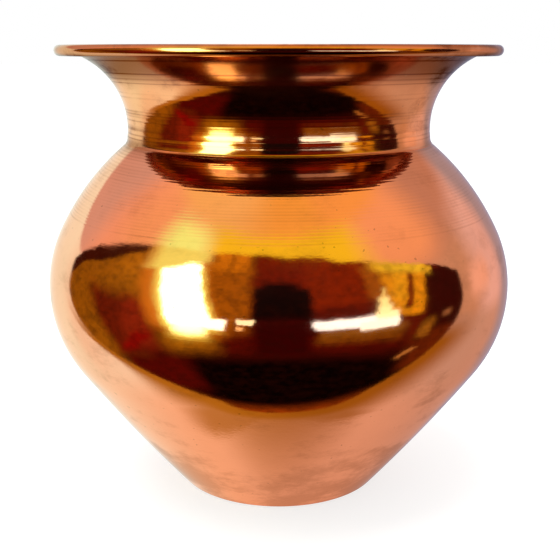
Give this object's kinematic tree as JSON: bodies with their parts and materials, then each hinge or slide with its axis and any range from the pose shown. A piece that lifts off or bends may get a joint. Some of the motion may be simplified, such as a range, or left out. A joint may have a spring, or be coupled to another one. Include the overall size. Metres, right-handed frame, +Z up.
{
  "type": "copper kalash pot",
  "caption": "Round-bellied copper kalash water pot with a sloping shoulder, narrow neck and wide flared mouth with a wired rim.",
  "frame": {"origin": "centre of the base, on the surface the pot stands on", "axes": "+Z up along the pot's axis; X and Y are alike, because the pot is round"},
  "size_m": [0.1048, 0.1048, 0.1],
  "materials": {
    "polished_copper": "polished",
    "copper_wire": "drawn",
    "braze_alloy": "satin"
  },
  "bodies": {
    "root": {"bowl": "polished_copper", "shoulder": "polished_copper", "neck_collar": "polished_copper", "rim_wire": "copper_wire", "belly_braze": "braze_alloy", "neck_braze": "braze_alloy"}
  },
  "joints": []
}
